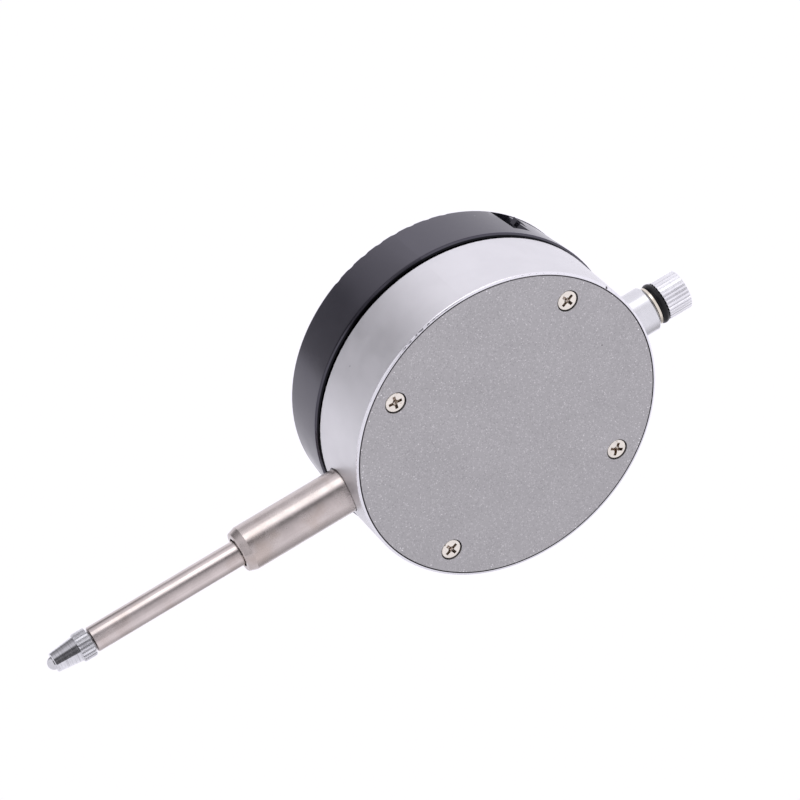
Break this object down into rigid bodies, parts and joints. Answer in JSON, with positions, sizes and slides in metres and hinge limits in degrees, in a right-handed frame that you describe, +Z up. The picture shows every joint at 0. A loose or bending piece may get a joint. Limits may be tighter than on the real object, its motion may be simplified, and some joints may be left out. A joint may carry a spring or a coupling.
{
  "type": "digital dial indicator",
  "caption": "Round electronic dial indicator with a clamping stem, long sprung plunger with ball contact, knurled lifting knob, turnable display face and flat screwed back.",
  "frame": {"origin": "on the spindle axis, half way along the stem's clamping length", "axes": "+Z up the spindle towards the lifting knob, display faces -Y, back cover faces +Y, +X to the right seen from the front"},
  "size_m": [0.0576, 0.0252, 0.1251],
  "materials": {
    "case": "satin anodised",
    "cover": "grit-blasted grey with fine metallic grains",
    "screw": "nickel plated",
    "gasket": "matt",
    "stem": "fine turned",
    "bush": "machined",
    "collar": "satin turned",
    "steel": "ground",
    "pcb": "solder mask",
    "nylon": "natural nylon",
    "spring": "drawn wire",
    "spindle": "polished, hardened",
    "contact": "bright",
    "ball": "polished carbide",
    "knob": "bright knurled",
    "nickel": "nickel plated",
    "o_ring": "satin black",
    "carrier": "machined",
    "slider": "plated glass",
    "housing": "gloss black",
    "rear_plate": "moulded black",
    "panel": "fine-grained charcoal",
    "window": "clear",
    "lcd": "grey-green reflective display",
    "elastomer": "striped elastomer",
    "chip": "moulded epoxy",
    "dome": "stamped",
    "button": "satin grey",
    "button_accent": "satin orange",
    "cell": "nickel-plated can"
  },
  "bodies": {
    "case": {"case_body": "case", "back_cover": "cover", "back_screws": "screw", "back_gasket": "gasket", "stem": "stem", "lower_bush": "bush", "upper_collar": "collar", "upper_bush": "bush", "guide_rod": "steel", "scale_board": "pcb", "scale_board_screws": "screw", "friction_ring": "nylon", "face_retainer": "steel", "retainer_screws": "screw", "return_spring": "spring"},
    "plunger": {"spindle": "spindle", "contact_point": "contact", "contact_ball": "ball", "lifting_knob": "knob", "knob_washer": "nickel", "bumper_o_ring": "o_ring", "scale_carrier": "carrier", "carrier_screw": "screw", "slider_plate": "slider"},
    "display": {"front_housing": "housing", "rear_plate": "rear_plate", "housing_screws": "screw", "face_panel": "panel", "lcd_window": "window", "lcd_module": "lcd", "zebra_strips": "elastomer", "main_board": "pcb", "controller_chip": "chip", "switch_domes": "dome", "battery_contacts": "dome"},
    "left_key": {"button_left": "button"},
    "middle_key": {"button_middle": "button_accent"},
    "right_key": {"button_right": "button"},
    "battery_drawer": {"battery_door": "housing", "battery_cell": "cell"}
  },
  "joints": [
    {"name": "plunger_slide", "type": "slide", "parent": "case", "child": "plunger", "axis": [0, 0, 1], "range_m": [0, 0.0254], "stiffness_N_per_m": 28, "springref_m": -0.032, "deforming": ["return_spring"]},
    {"name": "display_turn", "type": "hinge", "parent": "case", "child": "display", "pos_m": [0, 0, 0.0384], "axis": [0, -1, 0], "range_deg": [-165, 165]},
    {"name": "battery_drawer_slide", "type": "slide", "parent": "display", "child": "battery_drawer", "axis": [0.454, 0, 0.891], "range_m": [0, 0.014]},
    {"name": "left_key_press", "type": "slide", "parent": "display", "child": "left_key", "axis": [0, 1, 0], "range_m": [0, 0.0005], "stiffness_N_per_m": 1500, "springref_m": -0.0002},
    {"name": "middle_key_press", "type": "slide", "parent": "display", "child": "middle_key", "axis": [0, 1, 0], "range_m": [0, 0.0005], "stiffness_N_per_m": 1500, "springref_m": -0.0002},
    {"name": "right_key_press", "type": "slide", "parent": "display", "child": "right_key", "axis": [0, 1, 0], "range_m": [0, 0.0005], "stiffness_N_per_m": 1500, "springref_m": -0.0002}
  ]
}
